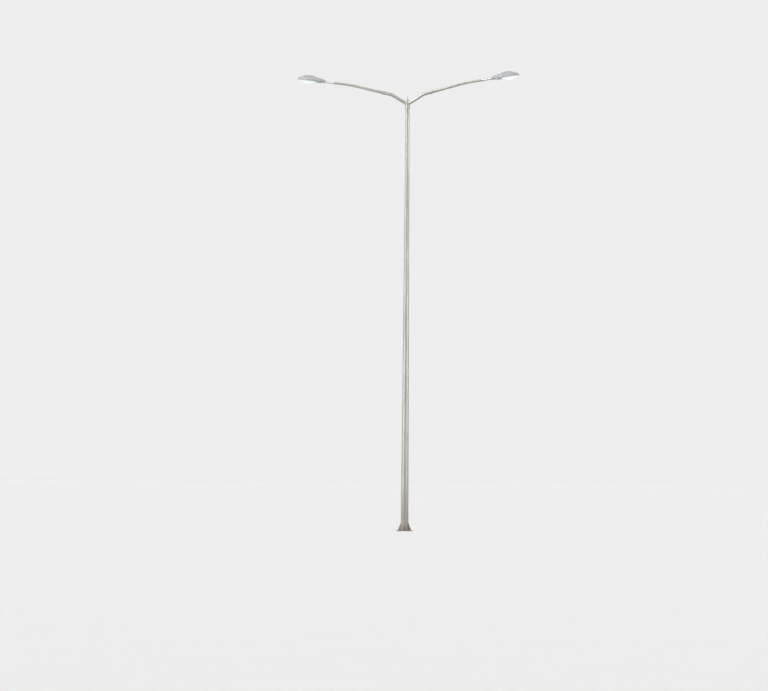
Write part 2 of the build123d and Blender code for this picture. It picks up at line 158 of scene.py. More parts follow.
# %% A finish
class Finish(Bench):
    """One material: a Principled shader and the nodes that feed it."""

    def __init__(self, name, **constants):
        self.material = bpy.data.materials.new(name)
        self.material.use_nodes = True
        super().__init__(self.material.node_tree)
        self.shader = self.tree.nodes["Principled BSDF"]
        self.surface(**constants)

    def surface(self, **sockets):
        for socket, value in sockets.items():
            self.feed(self.shader.inputs[socket.replace("_", " ")], value)
        return self.material

# %% [markdown]
# ## Patterns that every finish shares
# A picture wrapped round each piece would need seams and would blur close up, so every pattern is
# worked out in the object's own metres. A grain of 2 mm is then 2 mm on every piece, and the
# patterns run on from one piece to the next. Stretching the coordinates along Z turns round
# blotches into the runs that rain leaves on a tall tube.

# %% Patterns
def place(finish, stretch=(1.0, 1.0, 1.0)):
    """Coordinates in metres, scaled along each axis."""
    spot = finish.node("ShaderNodeTexCoord", out="Object")
    return finish.node("ShaderNodeVectorMath", {"operation": "MULTIPLY"}, {0: spot, 1: stretch})

def noise(finish, scale, detail, stretch=(1.0, 1.0, 1.0)):
    """Soft blotches, about 1/scale metres across."""
    inputs = {"Vector": place(finish, stretch), "Scale": scale, "Detail": detail}
    inputs["Roughness"] = 0.55
    return finish.node("ShaderNodeTexNoise", inputs=inputs)

def spangle(finish, scale):
    """Flakes with a level of their own each, as zinc crystals have."""
    inputs = {"Vector": place(finish), "Scale": scale}
    cell = finish.node("ShaderNodeTexVoronoi", inputs=inputs, out="Color")
    return finish.node("ShaderNodeSeparateColor", inputs={"Color": cell})

def ramp(value, zero_at, one_at):
    """0 where the value is zero_at or beyond, 1 where it is one_at or beyond, straight between."""
    inputs = {"Value": value, "From Min": zero_at, "From Max": one_at}
    return value.bench.node("ShaderNodeMapRange", {"clamp": True}, inputs)

def patchy(finish, scale, detail, zero_at, one_at):
    """Blotches that only show where the noise is high."""
    return ramp(noise(finish, scale, detail), zero_at, one_at)

def dot(first, second):
    """How far two directions agree: 1 for the same one, 0 for square to each other."""
    settings, inputs = {"operation": "DOT_PRODUCT"}, {0: first, 1: second}
    return first.bench.node("ShaderNodeVectorMath", settings, inputs, "Value")

# %% Colours
# The Mix node has sockets for each kind of value. These are the ones for colours.
share_socket, first_socket, second_socket, mixed_socket = 0, 6, 7, 2

black = (0.0, 0.0, 0.0)

def blend(share, first, second):
    """One colour into another."""
    inputs = {share_socket: share, first_socket: first, second_socket: second}
    return share.bench.node("ShaderNodeMix", {"data_type": "RGBA"}, inputs, mixed_socket)

# %% Where a point lies and how its surface looks
def height_of(finish):
    """Height above the ground in metres."""
    return finish.node("ShaderNodeSeparateXYZ", inputs={"Vector": place(finish)}, out="Z")

def true_normal(finish):
    return finish.node("ShaderNodeNewGeometry", out="Normal")

def facing_up(finish):
    """1 on a surface that looks up, 0 on a wall."""
    return finish.node("ShaderNodeSeparateXYZ", inputs={"Vector": true_normal(finish)}, out="Z")

def soft_edge(finish, radius):
    """The surface normal with every edge rounded off, which no real edge is without."""
    return finish.node("ShaderNodeBevel", {"samples": 4}, {"Radius": radius})

def worn_edge(soft):
    """1 along edges, where the coat is thin: the rounded normal leaves the true one there."""
    return ramp(1.0 - dot(soft, true_normal(soft.bench)), 0.015, 0.12)

def relief(height, depth, after=None):
    """Turns a height pattern into a surface normal."""
    inputs = {"Height": height, "Distance": depth, "Strength": 1.0}
    if after is not None:
        inputs["Normal"] = after
    return height.bench.node("ShaderNodeBump", inputs=inputs)

# %% [markdown]
# ## Coat of the column
# The shaft and arms are galvanised and then coated a warm grey with a little metal in it, so that
# they mirror what stands beside them in two soft stripes. Close up the coat is never one grey:
# it varies in broad clouds, rain draws thin pale and dark runs down the shaft, dust browns the
# lowest metres, and the zinc shows where edges have worn. Each is a layer, blended over the one
# before, and the gloss varies with the dirt.

# %% Column coat
def column_coat():
    finish = Finish("column_coat", Coat_Roughness=0.22)
    height = height_of(finish)
    soft = soft_edge(finish, 0.0018)
    clouds = noise(finish, 2.2, 4.0, stretch=(1.0, 1.0, 0.35))
    patches = noise(finish, 11.0, 5.0, stretch=(1.0, 1.0, 0.6))
    runs = noise(finish, 34.0, 3.0, stretch=(1.0, 1.0, 0.02))
    fine = noise(finish, 420.0, 2.0)
    flakes = spangle(finish, 70.0)
    on_shaft = ramp(height, 12.04, 11.9) * 0.85 + 0.15
    dark_runs = ramp(runs, 0.55, 0.72) * on_shaft
    pale_runs = ramp(runs, 0.45, 0.28) * on_shaft
    stains = ramp(patches, 0.45, 0.75)
    dust = ramp(height + clouds * 1.6, 2.6, 0.6)
    splash = ramp(height + patches * 0.25, 0.42, 0.1)
    chips = patchy(finish, 95.0, 2.0, 0.71, 0.725) * ramp(height, 1.5, 0.3)
    worn = worn_edge(soft) * patchy(finish, 60.0, 3.0, 0.42, 0.6)
    worn = worn.at_least(chips)

    broad = ramp(clouds, 0.3, 0.7)
    paint = blend(broad, (0.335, 0.322, 0.29), (0.45, 0.435, 0.395))
    paint = blend(stains * 0.3, paint, (0.27, 0.26, 0.235))
    paint = blend(flakes * 0.16, paint, (0.55, 0.54, 0.5))
    paint = blend(pale_runs * 0.4, paint, (0.58, 0.56, 0.51))
    paint = blend(dark_runs * 0.5, paint, (0.19, 0.175, 0.15))
    paint = blend(dust * 0.5, paint, (0.25, 0.218, 0.175))
    paint = blend(splash * 0.6, paint, (0.17, 0.14, 0.105))
    paint = blend(fine * 0.12, paint, (0.25, 0.24, 0.21))
    paint = blend(worn * 0.8, paint, (0.62, 0.61, 0.58))
    dull = dust * 0.2 + splash * 0.15 + dark_runs * 0.1 + stains * 0.06
    orange_peel = relief(noise(finish, 650.0, 2.0), 0.0001, after=soft)
    return finish.surface(
        Base_Color=paint,
        Roughness=0.33 + fine * 0.08 + dull - pale_runs * 0.05,
        Metallic=(0.36 - dust * 0.22 - splash * 0.14 + worn * 0.5).at_least(0.0),
        Coat_Weight=0.8 - dust * 0.55,
        Normal=relief(flakes + runs - chips * 2.0, 0.00008, after=orange_peel),
    )

# %% [markdown]
# ## Zinc of the neck and sleeve
# The short neck and its sleeve are left bare, so the zinc shows: flat grey crystals a centimetre
# across, each catching the light a little differently, with white bloom where water stands. Cells
# with a grey of their own each give the crystals, in two sizes, because even cells look like tiles.

# %% Bare zinc
def bare_zinc():
    finish = Finish("bare_zinc")
    soft = soft_edge(finish, 0.0012)
    flakes = spangle(finish, 110.0)
    small = spangle(finish, 320.0)
    clouds = noise(finish, 9.0, 4.0)
    bloom = patchy(finish, 26.0, 5.0, 0.52, 0.7)
    scuff = noise(finish, 140.0, 3.0, stretch=(0.12, 1.0, 1.0))
    crystals = flakes * 0.7 + small * 0.3
    zinc = blend(crystals, (0.46, 0.46, 0.45), (0.68, 0.675, 0.65))
    zinc = blend(ramp(clouds, 0.35, 0.7) * 0.4, zinc, (0.42, 0.41, 0.39))
    zinc = blend(bloom * 0.45, zinc, (0.74, 0.74, 0.71))
    return finish.surface(
        Base_Color=zinc,
        Roughness=0.3 + flakes * 0.14 + bloom * 0.3 + scuff * 0.08,
        Metallic=0.86 - bloom * 0.5,
        Normal=relief(flakes + scuff * 0.6, 0.00012, after=soft),
    )

# %% [markdown]
# ## Powder coat of the lamp castings
# The canopy, frame and gear cover are die cast and powder coated: a cool light grey with a fine
# orange-peel grain. Dust settles on what looks up, so the surface's own direction places it, while
# films of dirt run down the sides and the coat thins on edges.

# %% Powder coat
def powder_coat():
    finish = Finish("powder_coat", Coat_Roughness=0.3)
    soft = soft_edge(finish, 0.0014)
    clouds = noise(finish, 7.0, 4.0)
    grain = noise(finish, 900.0, 2.0)
    specks = patchy(finish, 380.0, 2.0, 0.67, 0.74)
    runs = noise(finish, 70.0, 3.0, stretch=(1.0, 1.0, 0.12))
    settled = ramp(facing_up(finish) + clouds * 0.5, 0.75, 1.25)
    film = ramp(runs, 0.55, 0.8)
    worn = worn_edge(soft) * patchy(finish, 90.0, 3.0, 0.4, 0.62)

    broad = ramp(clouds, 0.3, 0.7)
    paint = blend(broad, (0.5, 0.515, 0.53), (0.6, 0.615, 0.625))
    paint = blend(settled * 0.4, paint, (0.37, 0.345, 0.3))
    paint = blend(film * 0.25, paint, (0.3, 0.285, 0.26))
    paint = blend(specks * 0.28, paint, (0.24, 0.225, 0.2))
    paint = blend(worn * 0.7, paint, (0.75, 0.75, 0.74))
    return finish.surface(
        Base_Color=paint,
        Roughness=0.38 + grain * 0.06 + settled * 0.26 + specks * 0.08 + film * 0.08,
        Metallic=worn * 0.6,
        Coat_Weight=0.35 - settled * 0.3,
        Normal=relief(grain + specks * 0.3, 0.00013, after=soft),
    )

# %% [markdown]
# ## Finial, steel, rubber and board
# The finial is plain spun metal, duller at its foot and brighter at its tip, and the lathe's fine
# lines run round it, so its noise is stretched round the axis. Its greys are kept darker than the
# column's coat: that is painted shade, as if the finial stood unlit. Screws and the latch are
# stainless, with fine brushing. The seal is black rubber gone grey in places. The board behind the
# lenses is white, with faint tracks, which a wave pattern draws.

# %% Finial metal
def finial_metal():
    finish = Finish("finial_metal")
    tip = ramp(height_of(finish), 12.13, 12.24)
    lathe_lines = noise(finish, 60.0, 3.0, stretch=(0.15, 0.15, 14.0))
    broad = patchy(finish, 24.0, 4.0, 0.3, 0.7)
    spots = patchy(finish, 130.0, 3.0, 0.6, 0.72)
    # Painted shade: both greys sit below the column's coat, so the finial looks unlit.
    metal = blend(broad, (0.2, 0.197, 0.19), (0.3, 0.294, 0.28))
    metal = blend(tip * 0.7, metal, (0.52, 0.51, 0.49))
    metal = blend(spots * 0.4, metal, (0.26, 0.25, 0.23))
    return finish.surface(
        Base_Color=metal,
        Roughness=0.44 + lathe_lines * 0.12 + spots * 0.2 - tip * 0.14,
        Metallic=0.7 - spots * 0.35,
        Normal=relief(lathe_lines, 0.00015, after=soft_edge(finish, 0.0015)),
    )

# %% Stainless steel
def stainless():
    finish = Finish("stainless")
    brushed = noise(finish, 300.0, 3.0, stretch=(1.0, 0.1, 1.0))
    stains = patchy(finish, 85.0, 4.0, 0.55, 0.7)
    steel = blend(brushed, (0.5, 0.5, 0.49), (0.66, 0.66, 0.65))
    steel = blend(stains * 0.55, steel, (0.3, 0.24, 0.17))
    return finish.surface(
        Base_Color=steel,
        Roughness=0.24 + brushed * 0.16 + stains * 0.3,
        Metallic=0.95 - stains * 0.5,
        Normal=relief(brushed, 0.00006),
    )

# %% Seal rubber
def seal_rubber():
    finish = Finish("seal_rubber", Specular_IOR_Level=0.35)
    clouds = noise(finish, 30.0, 4.0)
    broad = ramp(clouds, 0.35, 0.7)
    return finish.surface(
        Base_Color=blend(broad, (0.018, 0.018, 0.019), (0.06, 0.058, 0.055)),
        Roughness=0.62 + clouds * 0.2,
        Normal=relief(noise(finish, 1200.0, 2.0), 0.0001),
    )

# %% Board
def white_board():
    finish = Finish("white_board")
    clouds = noise(finish, 14.0, 3.0)
    tracks = finish.node(
        "ShaderNodeTexWave",
        {"wave_type": "BANDS", "bands_direction": "Y", "wave_profile": "SIN"},
        {"Vector": place(finish), "Scale": 26.0, "Distortion": 0.6, "Detail": 1.0},
        out="Fac",
    )
    lines = ramp(tracks, 0.86, 0.93)
    face = blend(clouds * 0.4, (0.82, 0.83, 0.83), (0.72, 0.73, 0.72))
    face = blend(lines * 0.35, face, (0.62, 0.66, 0.6))
    return finish.surface(
        Base_Color=face,
        Roughness=0.34 + clouds * 0.12,
        Normal=relief(lines, 0.00008),
    )

# %% [markdown]
# ## Glass that is lit from inside
# The lit bowl is a cool white patch, slightly warm along its lowest part. That is light coming
# through pressed glass, so the bowl is part clear and has a glow of its own. An even glow would
# hide the flutes, so the mesh carries two numbers at each corner, how deep in a flute it lies and
# how low on the bowl, and the glow follows them.

# %% Pressed glass
def pressed_glass():
    finish = Finish("pressed_glass", IOR=1.47, Emission_Strength=1.0)
    flute = finish.node("ShaderNodeAttribute", {"attribute_name": "flute"}, out="Fac")
    depth = finish.node("ShaderNodeAttribute", {"attribute_name": "depth"}, out="Fac")
    grime = patchy(finish, 30.0, 5.0, 0.5, 0.75)
    specks = patchy(finish, 190.0, 2.0, 0.66, 0.74)
    swirl = noise(finish, 18.0, 3.0)
    warm = ramp(depth + swirl * 0.2, 0.75, 1.15)
    tint = blend(warm, (0.9, 0.955, 1.0), (1.0, 0.93, 0.78))
    level = 0.64 + ramp(depth, 0.0, 0.5) * 0.2
    level = level - flute * 0.3 - specks * 0.2 - grime * 0.06 + swirl * 0.06
    dirt = grime * 0.5 + specks * 0.3
    return finish.surface(
        Base_Color=blend(dirt, (0.26, 0.29, 0.31), (0.3, 0.28, 0.24)),
        Emission_Color=blend(level, black, tint),
        Alpha=0.72 - flute * 0.14 + specks * 0.15 + grime * 0.1,
        Roughness=0.07 + grime * 0.22,
        Normal=relief(noise(finish, 240.0, 2.0), 0.00012),
    )

# %% Lenses and light points
def clear_lens():
    finish = Finish("clear_lens", IOR=1.49, Emission_Strength=0.55)
    haze = noise(finish, 45.0, 3.0)
    return finish.surface(
        Base_Color=blend(haze, (0.9, 0.94, 0.97), (0.97, 0.98, 1.0)),
        Emission_Color=blend(haze, (0.88, 0.94, 1.0), (1.0, 1.0, 1.0)),
        Alpha=0.7 + haze * 0.1,
        Roughness=0.05 + haze * 0.08,
        Normal=relief(haze, 0.0001),
    )

def light_point():
    finish = Finish("light_point", Emission_Strength=3.0)
    grain = noise(finish, 800.0, 2.0)
    return finish.surface(
        Base_Color=blend(grain, (0.9, 0.78, 0.3), (0.95, 0.9, 0.55)),
        Emission_Color=blend(grain, (0.95, 0.98, 1.0), (1.0, 1.0, 0.96)),
        Roughness=0.4 + grain * 0.1,
        Normal=relief(grain, 0.00005),
    )

# %% [markdown]
# ## Finishes on the carried pieces
# Most of the big pieces keep the shapes they were cut to and only get their finish. The record
# says which slot each piece belongs to, so one table from slot to finish dresses them all.

# %% Dress the carried pieces
finishes = {
    "pole_coat": column_coat(),
    "finial_metal": finial_metal(),
    "neck_metal": bare_zinc(),
    "lamp_casting": powder_coat(),
    "seal_rubber": seal_rubber(),
    "bowl_glass": pressed_glass(),
    "board_metal": white_board(),
    "lens_clear": clear_lens(),
    "latch_steel": stainless(),
}
slot_of = {row["node"]: row["material_slot"] for row in frame["record"]["subparts"]}
for name, obj in nodes.items():
    obj.data.materials.clear()
    obj.data.materials.append(finishes[slot_of[name]])
for slot, finish in finishes.items():
    print(slot, "is", finish.name, "with", len(finish.node_tree.nodes), "nodes")

# %% [markdown]
# ## Where the arms and lamps are
# The small pieces sit on the big ones, so the scene repeats the few sizes that place them: the
# arm's rise, its bend, the long run and the tilt of the lamp. Everything is worked out for the
# right side and mirrored for the left, as the real pair is.

# %% Setting out
plate_top = 0.02
shaft_top = 11.96
shaft_length = shaft_top - plate_top
shaft_base_radius = 0.108
shaft_top_radius = 0.055
collar_height = 0.095
collar_radius = 0.0693
hub_flange_radius = 0.064
hub_flange = 0.01
hub_margin = 0.005
hub_radius = 0.055
hub_shoulder = 0.012
finial_foot_radius = 0.037
root_radius = 0.045
rise = radians(31)
run = radians(14)
lamp_tilt = radians(8)
elbow_reach = 0.46
joint_reach = 0.69
curve_start_reach = 1.5
curve_radius = 3.0
arm_reach = 2.15
sleeve_gap = 0.003
neck_length = 0.25
root_half_height = root_radius / cos(rise)
root_height = shaft_top + hub_flange + hub_margin + root_half_height
hub_top = shaft_top + hub_flange + 2 * (hub_margin + root_half_height) + hub_shoulder

upward = Vector((0, 0, 1))

def along(angle):
    """Unit vector in the plane of the arms that climbs at an angle."""
    return Vector((cos(angle), 0, sin(angle)))

def level_way(turn):
    """Level unit vector, this far round the column."""
    return Vector((cos(turn), sin(turn), 0))

def shaft_radius(height):
    share = (height - plate_top) / shaft_length
    return shaft_base_radius + (shaft_top_radius - shaft_base_radius) * share

# %% Frames of the arm, neck and lamp
def sloping(point, angle):
    """A frame at a point whose X climbs at an angle."""
    return Matrix.Translation(point) @ Matrix.Rotation(-angle, 4, "Y")

root_start = Vector((0, 0, root_height - hub_radius * tan(rise)))
elbow = root_start + along(rise) * (elbow_reach / cos(rise))
joint = elbow + along(run) * ((joint_reach - elbow_reach) / cos(run))
curve_start = elbow + along(run) * ((curve_start_reach - elbow_reach) / cos(run))
bend = Vector((sin(run) - sin(lamp_tilt), 0, cos(lamp_tilt) - cos(run))) * curve_radius
curve_end = curve_start + bend
sleeve = curve_end + along(lamp_tilt) * ((arm_reach - curve_end.x) / cos(lamp_tilt))
mouth = sleeve + along(lamp_tilt) * (sleeve_gap + neck_length)
arm_frame = sloping(joint, run)
neck_frame = sloping(sleeve, lamp_tilt)
lamp_frame = sloping(mouth, lamp_tilt)
to_left = Matrix.Diagonal((-1, 1, 1, 1))
print("lamp mouth at", [round(v, 4) for v in mouth], "hub top at", round(hub_top, 4))

# %% [markdown]
# ## Small shapes
# A weld, a screw or a row of light points is a list of corners and faces. Keeping it as plain
# lists until the end means that it can be turned, mirrored and joined with others before Blender
# makes one mesh of it.

# %% Shapes as corners and faces
class Shape:
    """Corners and faces, before they are made into a mesh."""

    def __init__(self, corners=(), faces=()):
        self.corners = [Vector(c) for c in corners]
        self.faces = [tuple(f) for f in faces]

    def __add__(self, other):
        shift = len(self.corners)
        faces = self.faces + [tuple(i + shift for i in f) for f in other.faces]
        return Shape(self.corners + other.corners, faces)

    def at(self, matrix):
        flip = matrix.determinant() < 0
        faces = [tuple(reversed(f)) for f in self.faces] if flip else self.faces
        return Shape([matrix @ c for c in self.corners], faces)

def joined(shapes):
    return sum(shapes, Shape())

# The corners of a square, anticlockwise.
square = ((1, 1), (-1, 1), (-1, -1), (1, -1))

# %% Faces over rows of corners
def grid(rows, wrap_around=False, wrap_along=False):
    """Faces over rows of corners, each row as long as the next."""
    count, width = len(rows), len(rows[0])
    faces = []
    for i in range(count if wrap_along else count - 1):
        for j in range(width if wrap_around else width - 1):
            k, m = (i + 1) % count, (j + 1) % width
            faces.append((i * width + j, i * width + m, k * width + m, k * width + j))
    return Shape([c for row in rows for c in row], faces)

def closed_form(rows):
    """Rows of corners that run all the way round, with a fan to close each end."""
    shape = grid(rows, wrap_around=True)
    width, start = len(rows[0]), (len(rows) - 1) * len(rows[0])
    foot, top = len(shape.corners), len(shape.corners) + 1
    ends = [sum((Vector(c) for c in row), Vector()) / width for row in (rows[0], rows[-1])]
    fans = [(foot, (s + 1) % width, s) for s in range(width)]
    fans += [(top, start + s, start + (s + 1) % width) for s in range(width)]
    return Shape([*shape.corners, *ends], [*shape.faces, *fans])

def full_turn(steps):
    """Evenly spaced angles all the way round."""
    return [2 * pi * s / steps for s in range(steps)]

def ring(radius, height, steps=24, sides=0):
    """A level ring of corners, or with sides a polygon whose flats are at that radius."""
    corners = []
    for turn in full_turn(steps):
        reach = radius
        if sides:
            half = pi / sides
            reach = radius / cos((turn + half) % (2 * half) - half)
        corners.append(Vector((reach * cos(turn), reach * sin(turn), height)))
    return corners

def stand(point, up, across=(0, 1, 0)):
    """A frame at a point with its Z along up."""
    z = Vector(up).normalized()
    x = Vector(across).cross(z)
    x = x.normalized() if x.length > 0.001 else z.orthogonal().normalized()
    return Matrix.Translation(point) @ Matrix((x, z.cross(x), z)).transposed().to_4x4()

# %% Make a mesh piece
smooth_under = radians(40)

def piece(name, shape, slot, material=None, merge=0.0):
    """A mesh with its slot's finish, or another one, that rides with the column."""
    mesh = bpy.data.meshes.new(name)
    mesh.from_pydata(shape.corners, [], shape.faces)
    if merge:
        work = bmesh.new()
        work.from_mesh(mesh)
        bmesh.ops.remove_doubles(work, verts=work.verts, dist=merge)
        work.to_mesh(mesh)
        work.free()
    mesh.polygons.foreach_set("use_smooth", [True] * len(mesh.polygons))
    mesh.set_sharp_from_angle(angle=smooth_under)
    mesh.materials.append(material or finishes[slot])
    obj = add_object(name, mesh)
    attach(obj, "root")
    print(name, len(mesh.vertices), "corners", len(mesh.polygons), "faces")
    return obj

def both_sides(name, shape, slot, material=None):
    """The piece on the right, and its mirror image on the left."""
    right = piece(f"{name}_right", shape, slot, material)
    left = piece(f"{name}_left", shape.at(to_left), slot, material)
    return right, left

# %% [markdown]
# ## Glass bowl
# The bowl is pressed glass: smooth inside, with upright flutes round its sides outside that spread
# the light, and a plain middle with a few rings. Bump alone would leave its outline smooth, so the
# flutes are real: the outer skin is drawn in by a rounded wave. The flutes fade out towards the
# rim, so that the flange seats flat on its ledge.

# %% Size of the bowl
bowl_middle = 0.528
bowl_half_length = 0.246
bowl_half_width = 0.139
bowl_depth = 0.086
bowl_wall = 0.004
ledge_level = -0.016
flange_width = 0.009
flange_thickness = 0.004
lift = (bowl_half_width**2 - bowl_depth**2) / (2 * bowl_depth)
deepest = bowl_depth + lift
long_reach = bowl_half_length / sqrt(1 - (lift / deepest) ** 2)

def bowl_point(share, turn, inset):
    """A point of the bowl's skin, share of the way out from its middle, moved in by inset."""
    x = share * (bowl_half_length - inset) * cos(turn)
    y = share * (bowl_half_width - inset) * sin(turn)
    drop = (deepest - inset) ** 2 * (1 - (x / (long_reach - inset)) ** 2) - y**2
    return Vector((bowl_middle + x, y, ledge_level + lift - sqrt(max(drop, lift**2))))

def rim_row(turns, grow, up):
    """A row of corners round the flange."""
    long, wide, z = bowl_half_length + grow, bowl_half_width + grow, ledge_level + up
    return [Vector((bowl_middle + long * cos(turn), wide * sin(turn), z)) for turn in turns]

# %% Flutes and rings
flute_count = 64
flute_depth = 0.0021
flutes_begin, begin_width = 0.34, 0.12
flutes_end, end_width = 0.985, 0.05
ring_shares = (0.12, 0.2, 0.28)
ring_depth = 0.0006
ring_half_width = 0.022
inside_flute = 0.4

def fluting(share, turn):
    """How far the outer skin is drawn in: flutes on the sides, three rings in the middle."""
    fade_in = min(1, max(0, (share - flutes_begin) / begin_width))
    fade_out = min(1, max(0, (flutes_end - share) / end_width))
    flute = (1 - abs(cos(flute_count * turn / 2))) * flute_depth * (fade_in * fade_out)
    rings = 0.0
    for radius in ring_shares:
        rings += ring_depth * max(0, 1 - abs(share - radius) / ring_half_width)
    return flute + rings

# %% Glass bowl
turns = full_turn(flute_count * 6)
shares = [0.02 * n for n in range(1, 50)] + [0.99, 1.0]
inner_shares = [1.0 - 0.04 * n for n in range(25)]
bowl_rows = [[bowl_point(share, t, fluting(share, t)) for t in turns] for share in shares]
bowl_rows += [rim_row(turns, flange_width, 0.0), rim_row(turns, flange_width, flange_thickness)]
bowl_rows += [rim_row(turns, -bowl_wall, flange_thickness)]
bowl_rows += [[bowl_point(share, t, bowl_wall) for t in turns] for share in inner_shares]
bowl_shape = closed_form(bowl_rows)
flute_values = [fluting(share, t) / flute_depth for share in shares for t in turns]
flute_values += [inside_flute] * (len(bowl_shape.corners) - len(flute_values))
depth_values = [(ledge_level - corner.z) / bowl_depth for corner in bowl_shape.corners]
print("deepest flute", round(max(flute_values) * flute_depth * 1000, 2), "mm")

# %% Set the bowls in place
bowls = both_sides("pressed_bowl", bowl_shape.at(lamp_frame), "bowl_glass")
for bowl_piece, side in zip(bowls, ("right", "left")):
    for name, values in (("flute", flute_values), ("depth", depth_values)):
        layer = bowl_piece.data.attributes.new(name, "FLOAT", "POINT")
        layer.data.foreach_set("value", values)
    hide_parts(f"lamp_bowl_{side}")

# %% [markdown]
# ## Light points
# Behind each domed lens sits one light point: a small square package with a yellow face.
# Twenty-eight of them make the bright patch. A lamp for each would cost the render more than a
# glowing tile does, and at this size a chamfered tile is enough.

# %% Light points
lens_pitch = 0.048
lens_columns = 7
lens_rows = 4
chip_half = 0.00275
chip_chamfer = 0.0008
chip_low, chip_high = 0.0001, 0.001
chip_edge = 0.0003

def light_chip():
    """An eight-cornered tile with a slightly smaller face below."""
    cut = chip_half - chip_chamfer
    corners = []
    for sx, sy in square:
        pair = [(sx * chip_half, sy * cut), (sx * cut, sy * chip_half)]
        corners += pair if sx * sy > 0 else pair[::-1]
    rows = []
    for share, z in ((0.86, chip_low), (1.0, chip_low + chip_edge), (1.0, chip_high)):
        rows.append([Vector((x * share, y * share, z)) for x, y in corners])
    return closed_form(rows)

chip = light_chip()
chips = []
for column in range(lens_columns):
    for row in range(lens_rows):
        x = bowl_middle + (column - (lens_columns - 1) / 2) * lens_pitch
        y = (row - (lens_rows - 1) / 2) * lens_pitch
        chips.append(chip.at(Matrix.Translation((x, y, 0))))
both_sides("light_points", joined(chips).at(lamp_frame), "lens_clear", light_point())

# %% [markdown]
# ## Shaft with its opening
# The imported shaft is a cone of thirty-two flats, and long thin triangles dent it beside the door.
# From close by that shows, so the shaft is laid again as a fine skin with the same radii. Every
# level is a row of corners that starts at one side of the opening and ends at the other; above and
# below the opening a narrow patch closes the front.

# %% Outline of the opening
door_middle = 0.55
frame_half_width = 0.057
frame_half_height = 0.199
frame_corner = 0.043
shaft_wall = 0.0045
flat_half = frame_half_width - frame_corner
flank_half = frame_half_height - frame_corner

def opening_half(height):
    """Half the opening's width at a height; beyond its ends, half the width of its flat end."""
    past_flank = abs(height - door_middle) - flank_half
    if past_flank <= 0:
        return frame_half_width
    return flat_half + sqrt(max(0.0, frame_corner**2 - past_flank**2))

def skin_point(turn, height, inset):
    """A point of the shaft's skin; turn 0 faces the door."""
    radius = shaft_radius(height) - inset
    return Vector((radius * sin(turn), -radius * cos(turn), height))

# %% Levels of the shaft
arc_steps = 10
flank_steps = 8
opening_low = door_middle - frame_half_height
opening_high = door_middle + frame_half_height
arc_turns = [pi / 2 * n / arc_steps for n in range(arc_steps + 1)]
arc_levels = [flank_half + frame_corner * sin(turn) for turn in arc_turns]
levels = [door_middle + side * level for level in arc_levels for side in (-1, 1)]
levels += [door_middle + flank_half * (2 * n / flank_steps - 1) for n in range(1, flank_steps)]
low_levels = [plate_top, 0.08, 0.14, 0.2, 0.27, 0.32]
high_levels = [0.78, 0.84, 0.92, 1.04, 1.2, 1.5] + [2.0 + 0.6 * n for n in range(17)] + [shaft_top]
levels = sorted(low_levels + levels + high_levels)
print(len(levels), "levels, from", levels[0], "to", levels[-1], "m")

# %% Rows of the skin
back_steps = 92
front_half_steps = 2

def back_rows(inset):
    """The skin from one side of the opening round the back to the other."""
    rows = []
    for height in levels:
        start = asin(opening_half(height) / (shaft_radius(height) - inset))
        step = (2 * pi - 2 * start) / back_steps
        rows.append([skin_point(start + step * k, height, inset) for k in range(back_steps + 1)])
    return rows

def front_rows(inset, heights):
    """The narrow patch at the front, above or below the opening."""
    rows = []
    for height in heights:
        start = asin(flat_half / (shaft_radius(height) - inset))
        shares = [k / front_half_steps - 1 for k in range(2 * front_half_steps + 1)]
        rows.append([skin_point(start * share, height, inset) for share in shares])
    return rows

# %% The fine shaft
same_place = 1e-6
outer, inner = back_rows(0.0), back_rows(shaft_wall)
shaft_shape = grid(outer) + grid(inner[::-1])
for heights, edge in ((low_levels + [opening_low], -1), ([opening_high] + high_levels, 0)):
    outer_patch, inner_patch = front_rows(0.0, heights), front_rows(shaft_wall, heights)
    shaft_shape += grid(outer_patch) + grid(inner_patch[::-1])
    sill = [outer_patch[edge], inner_patch[edge]]
    shaft_shape += grid(sill if edge else sill[::-1])
    rim = [outer_patch[-1 - edge], inner_patch[-1 - edge]]
    shaft_shape += grid(rim[::-1] if edge else rim)
furthest = frame_half_height + same_place
in_opening = [i for i, z in enumerate(levels) if abs(z - door_middle) <= furthest]
for column, turn_over in ((0, True), (-1, False)):
    jamb = [[outer[i][column] for i in in_opening], [inner[i][column] for i in in_opening]]
    shaft_shape += grid(jamb[::-1] if turn_over else jamb)
shaft_shape += grid([outer[-1], inner[-1]]) + grid([inner[0], outer[0]])
fine_shaft = piece("fine_shaft", shaft_shape, "pole_coat", merge=same_place)
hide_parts("shaft")

# %% [markdown]
# ## Weld beads
# A weld is a row of overlapping puddles that fills the corner between two pieces. Seen close, it
# is what tells a welded column from a drawing. A bump pattern could hint at it, but only a real
# bead rounds the corner. Each is a closed tube laid along the corner, a little flattened, whose
# thickness ripples once a puddle and wanders slightly.

# %% A bead along a path
puddle = 0.0052
bead_step = puddle / 4
puddle_swell = 0.13
wander = 0.05
wander_pace = 41.0
bead_sides = 8
bead_flatness = 0.85
bead_section = [(bead_flatness * cos(turn), sin(turn)) for turn in full_turn(bead_sides)]

def bead(points, outward, radius, round_trip=False):
    """A rippled tube along points, with its hump in the outward directions."""
    rows, gone = [], 0.0
    last = len(points) - 1
    for i, (point, out) in enumerate(zip(points, outward)):
        before = points[i - 1] if i or round_trip else points[0]
        after = points[(i + 1) % len(points)] if i < last or round_trip else points[last]
        way = (after - before).normalized()
        out = (out - way * out.dot(way)).normalized()
        side = way.cross(out)
        gone += (point - before).length
        swell = puddle_swell * abs(sin(pi * gone / puddle)) + wander * sin(gone * wander_pace)
        thick = radius * (0.9 + swell)
        rows.append([point + thick * (up * out + across * side) for up, across in bead_section])
    return grid(rows, wrap_around=True, wrap_along=True) if round_trip else closed_form(rows)

